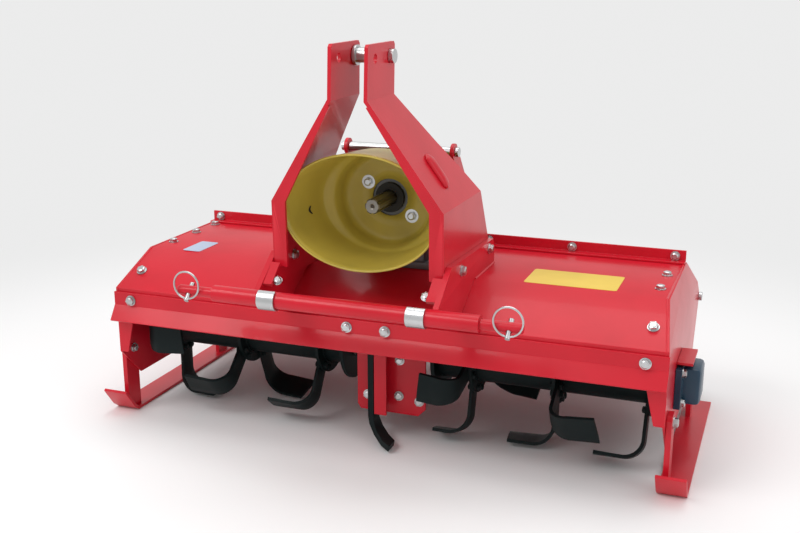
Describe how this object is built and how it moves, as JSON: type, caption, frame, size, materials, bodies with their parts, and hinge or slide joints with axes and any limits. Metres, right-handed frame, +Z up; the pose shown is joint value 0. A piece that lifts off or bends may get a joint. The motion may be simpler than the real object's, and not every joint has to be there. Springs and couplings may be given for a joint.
{
  "type": "rotary tiller",
  "caption": "Three-point-hitch rotary tiller: red hood with end plates and skids, mast, gearbox with splined input shaft and guard, tined rotor, hinged tailgate.",
  "frame": {"origin": "centre of the machine's box at ground level, the skids standing on z = 0", "axes": "+Z up, -Y towards the tractor, +X across the machine along the rotor"},
  "size_m": [1.4, 0.8626, 0.917],
  "materials": {
    "hood": "glossy red paint",
    "front_apron": "glossy red paint",
    "rear_angle": "glossy red paint",
    "drive_shield": "glossy red paint",
    "rod_ears": "glossy red paint",
    "hitch_bar": "glossy red paint",
    "tailgate": "glossy red paint",
    "end_plate_left": "glossy red paint",
    "end_plate_right": "glossy red paint",
    "bearing_cover_left": "glossy red paint",
    "bearing_cover_right": "glossy red paint",
    "skid_left": "glossy red paint",
    "skid_right": "glossy red paint",
    "mast_plate_left": "glossy red paint",
    "mast_plate_right": "glossy red paint",
    "mast_stay_left": "glossy red paint",
    "mast_stay_right": "glossy red paint",
    "hitch_bracket_left": "glossy red paint",
    "hitch_bracket_right": "glossy red paint",
    "fixed_point": "black paint, a little worn",
    "shaft_seal": "black paint, a little worn",
    "rotor_tube_left": "black paint, a little worn",
    "rotor_tube_right": "black paint, a little worn",
    "tine_set_1": "black paint, a little worn",
    "tine_set_2": "black paint, a little worn",
    "tine_set_3": "black paint, a little worn",
    "tine_set_4": "black paint, a little worn",
    "tine_set_5": "black paint, a little worn",
    "tine_set_6": "black paint, a little worn",
    "stay_cross_tube": "bright zinc plate",
    "top_spacer_bolt": "bright zinc plate",
    "rod_eye_pin": "bright zinc plate",
    "tailgate_rod": "bright zinc plate",
    "bar_clamp_left": "bright zinc plate",
    "bar_clamp_right": "bright zinc plate",
    "linch_pin_left": "bright zinc plate",
    "linch_pin_right": "bright zinc plate",
    "hinge_pin_left": "bright zinc plate",
    "hinge_pin_right": "bright zinc plate",
    "gearbox": "bare machined or cast metal",
    "drive_case": "bare machined or cast metal",
    "input_shaft": "bare machined or cast metal",
    "rotor_drive_shaft": "bare machined or cast metal",
    "input_guard": "yellow-olive paint",
    "bearing_housing_left": "dark blue-teal paint",
    "bearing_housing_right": "dark blue-teal paint"
  },
  "bodies": {
    "frame": {"hood": "hood", "front_apron": "front_apron", "rear_angle": "rear_angle", "drive_shield": "drive_shield", "rod_ears": "rod_ears", "hitch_bar": "hitch_bar", "end_plate_left": "end_plate_left", "end_plate_right": "end_plate_right", "bearing_cover_left": "bearing_cover_left", "bearing_cover_right": "bearing_cover_right", "skid_left": "skid_left", "skid_right": "skid_right", "mast_plate_left": "mast_plate_left", "mast_plate_right": "mast_plate_right", "mast_stay_left": "mast_stay_left", "mast_stay_right": "mast_stay_right", "hitch_bracket_left": "hitch_bracket_left", "hitch_bracket_right": "hitch_bracket_right", "fixed_point": "fixed_point", "shaft_seal": "shaft_seal", "stay_cross_tube": "stay_cross_tube", "top_spacer_bolt": "top_spacer_bolt", "rod_eye_pin": "rod_eye_pin", "bar_clamp_left": "bar_clamp_left", "bar_clamp_right": "bar_clamp_right", "linch_pin_left": "linch_pin_left", "linch_pin_right": "linch_pin_right", "hinge_pin_left": "hinge_pin_left", "hinge_pin_right": "hinge_pin_right", "gearbox": "gearbox", "drive_case": "drive_case", "input_guard": "input_guard", "bearing_housing_left": "bearing_housing_left", "bearing_housing_right": "bearing_housing_right"},
    "rotor": {"rotor_tube_left": "rotor_tube_left", "rotor_tube_right": "rotor_tube_right", "rotor_drive_shaft": "rotor_drive_shaft", "tine_set_1": "tine_set_1", "tine_set_2": "tine_set_2", "tine_set_3": "tine_set_3", "tine_set_4": "tine_set_4", "tine_set_5": "tine_set_5", "tine_set_6": "tine_set_6"},
    "pto_shaft": {"input_shaft": "input_shaft"},
    "tailgate": {"tailgate": "tailgate"},
    "stay_rod": {"tailgate_rod": "tailgate_rod"}
  },
  "joints": [
    {"name": "rotor_spin", "type": "hinge", "parent": "frame", "child": "rotor", "pos_m": [0, -0.0651, 0.197], "axis": [1, 0, 0], "continuous": true},
    {"name": "pto_spin", "type": "hinge", "parent": "frame", "child": "pto_shaft", "pos_m": [0, -0.1801, 0.567], "axis": [0, 1, 0], "continuous": true},
    {"name": "tailgate_hinge", "type": "hinge", "parent": "frame", "child": "tailgate", "pos_m": [0, 0.3239, 0.276], "axis": [1, 0, 0], "range_deg": [0, 45]},
    {"name": "stay_rod_pivot", "type": "hinge", "parent": "frame", "child": "stay_rod", "pos_m": [0, 0.1349, 0.475], "axis": [1, 0, 0], "range_deg": [0, 10.8]}
  ],
  "couplings": [
    {"joint": "pto_spin", "follows": "rotor_spin", "ratio": 2.7},
    {"joint": "stay_rod_pivot", "follows": "tailgate_hinge", "ratio": 0.24}
  ]
}
